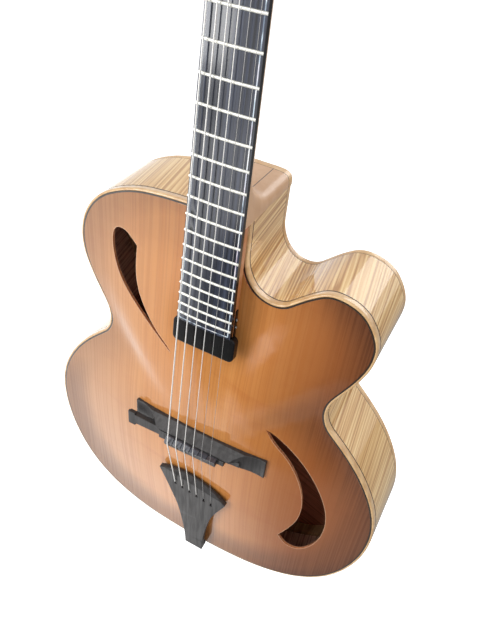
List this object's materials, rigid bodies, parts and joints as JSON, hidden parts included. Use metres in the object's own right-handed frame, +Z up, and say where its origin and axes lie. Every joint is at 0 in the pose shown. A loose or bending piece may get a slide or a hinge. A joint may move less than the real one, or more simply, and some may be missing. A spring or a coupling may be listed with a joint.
{
  "type": "guitar",
  "caption": "Archtop guitar with a carved top, one rounded cutaway, two unequal sound holes, a sliding-wedge bridge and a floating pickup.",
  "frame": {"origin": "on the tail of the body, in the middle of the rib depth, on the axis of the end pin jack", "axes": "+Z up the body towards the headstock, +X to the treble side, -Y out of the carved top"},
  "size_m": [0.427, 0.1401, 1.063],
  "materials": {
    "cedar": "clear gloss",
    "maple": "clear gloss, flamed",
    "binding_wood": "clear gloss",
    "dark_veneer": "clear gloss",
    "spruce": "raw",
    "neck_wood": "clear satin",
    "ebony": "satin",
    "pale_line": "polished",
    "nickel": "polished",
    "bone": "polished",
    "steel": "brushed",
    "black_gloss": "gloss",
    "copper_coil": "enamelled",
    "grey_horn": "polished",
    "string_steel": "drawn"
  },
  "bodies": {
    "guitar": {"top_plate": "cedar", "back_plate": "maple", "rib_bass": "maple", "rib_treble": "maple", "top_binding": "binding_wood", "back_binding": "binding_wood", "plate_purfling": "dark_veneer", "rib_lines": "dark_veneer", "top_lining": "spruce", "back_lining": "spruce", "neck_block": "spruce", "tail_block": "spruce", "tone_bars": "spruce", "heel_cap": "binding_wood", "neck_bass": "neck_wood", "neck_core": "neck_wood", "neck_strip": "dark_veneer", "neck_treble": "neck_wood", "neck_extension": "ebony", "fingerboard": "ebony", "board_inlay": "pale_line", "frets": "nickel", "nut": "bone", "headplate": "ebony", "truss_rod": "steel", "truss_rod_cover": "ebony", "cover_screws": "nickel", "pickup_cover": "black_gloss", "pickup_coil": "copper_coil", "pickup_magnet": "steel", "pickup_bracket": "black_gloss", "bracket_screws": "nickel", "bridge_base": "ebony", "tailpiece": "ebony", "tail_strap": "steel", "end_pin_jack": "nickel", "jack_nut": "nickel", "tuner_housings": "nickel", "tuner_bushings": "nickel", "tuner_screws": "nickel", "strings_wound": "string_steel", "strings_plain": "string_steel"},
    "wedge": {"bridge_wedge": "ebony"},
    "saddle": {"bridge_saddle": "ebony", "saddle_segments": "grey_horn"},
    "rod_nut": {"truss_rod_nut": "steel"},
    "button_1": {"tuner_button_1": "nickel"},
    "post_1": {"tuner_post_1": "nickel"},
    "button_2": {"tuner_button_2": "nickel"},
    "post_2": {"tuner_post_2": "nickel"},
    "button_3": {"tuner_button_3": "nickel"},
    "post_3": {"tuner_post_3": "nickel"},
    "button_4": {"tuner_button_4": "nickel"},
    "post_4": {"tuner_post_4": "nickel"},
    "button_5": {"tuner_button_5": "nickel"},
    "post_5": {"tuner_post_5": "nickel"},
    "button_6": {"tuner_button_6": "nickel"},
    "post_6": {"tuner_post_6": "nickel"}
  },
  "joints": [
    {"name": "button_1_turn", "type": "hinge", "parent": "guitar", "child": "button_1", "pos_m": [-0.023, 0.00359, 0.92482], "axis": [1, 0, 0], "continuous": true},
    {"name": "post_1_turn", "type": "hinge", "parent": "guitar", "child": "post_1", "pos_m": [-0.023, -0.0159, 0.92257], "axis": [0, 0.9572, -0.2895], "continuous": true},
    {"name": "button_2_turn", "type": "hinge", "parent": "guitar", "child": "button_2", "pos_m": [-0.022, 0.01517, 0.96311], "axis": [1, 0, 0], "continuous": true},
    {"name": "post_2_turn", "type": "hinge", "parent": "guitar", "child": "post_2", "pos_m": [-0.022, -0.00432, 0.96086], "axis": [0, 0.9572, -0.2895], "continuous": true},
    {"name": "button_3_turn", "type": "hinge", "parent": "guitar", "child": "button_3", "pos_m": [-0.021, 0.02675, 1.0014], "axis": [1, 0, 0], "continuous": true},
    {"name": "post_3_turn", "type": "hinge", "parent": "guitar", "child": "post_3", "pos_m": [-0.021, 0.00726, 0.99914], "axis": [0, 0.9572, -0.2895], "continuous": true},
    {"name": "button_4_turn", "type": "hinge", "parent": "guitar", "child": "button_4", "pos_m": [0.021, 0.02675, 1.0014], "axis": [1, 0, 0], "continuous": true},
    {"name": "post_4_turn", "type": "hinge", "parent": "guitar", "child": "post_4", "pos_m": [0.021, 0.00726, 0.99914], "axis": [0, 0.9572, -0.2895], "continuous": true},
    {"name": "button_5_turn", "type": "hinge", "parent": "guitar", "child": "button_5", "pos_m": [0.022, 0.01517, 0.96311], "axis": [1, 0, 0], "continuous": true},
    {"name": "post_5_turn", "type": "hinge", "parent": "guitar", "child": "post_5", "pos_m": [0.022, -0.00432, 0.96086], "axis": [0, 0.9572, -0.2895], "continuous": true},
    {"name": "button_6_turn", "type": "hinge", "parent": "guitar", "child": "button_6", "pos_m": [0.023, 0.00359, 0.92482], "axis": [1, 0, 0], "continuous": true},
    {"name": "post_6_turn", "type": "hinge", "parent": "guitar", "child": "post_6", "pos_m": [0.023, -0.0159, 0.92257], "axis": [0, 0.9572, -0.2895], "continuous": true},
    {"name": "wedge_slide", "type": "slide", "parent": "guitar", "child": "wedge", "axis": [-1, 0, 0], "range_m": [0, 0.015]},
    {"name": "saddle_height", "type": "slide", "parent": "guitar", "child": "saddle", "axis": [0, 1, 0], "range_m": [0, 0.0007]},
    {"name": "rod_nut_turn", "type": "hinge", "parent": "guitar", "child": "rod_nut", "pos_m": [0, -0.01988, 0.88483], "axis": [0, 0.0668, 0.9978], "range_deg": [-180, 180]}
  ],
  "couplings": [
    {"joint": "post_1_turn", "follows": "button_1_turn", "ratio": -0.055556},
    {"joint": "post_2_turn", "follows": "button_2_turn", "ratio": -0.055556},
    {"joint": "post_3_turn", "follows": "button_3_turn", "ratio": -0.055556},
    {"joint": "post_4_turn", "follows": "button_4_turn", "ratio": -0.055556},
    {"joint": "post_5_turn", "follows": "button_5_turn", "ratio": -0.055556},
    {"joint": "post_6_turn", "follows": "button_6_turn", "ratio": -0.055556},
    {"joint": "saddle_height", "follows": "wedge_slide", "ratio": 0.043661}
  ]
}
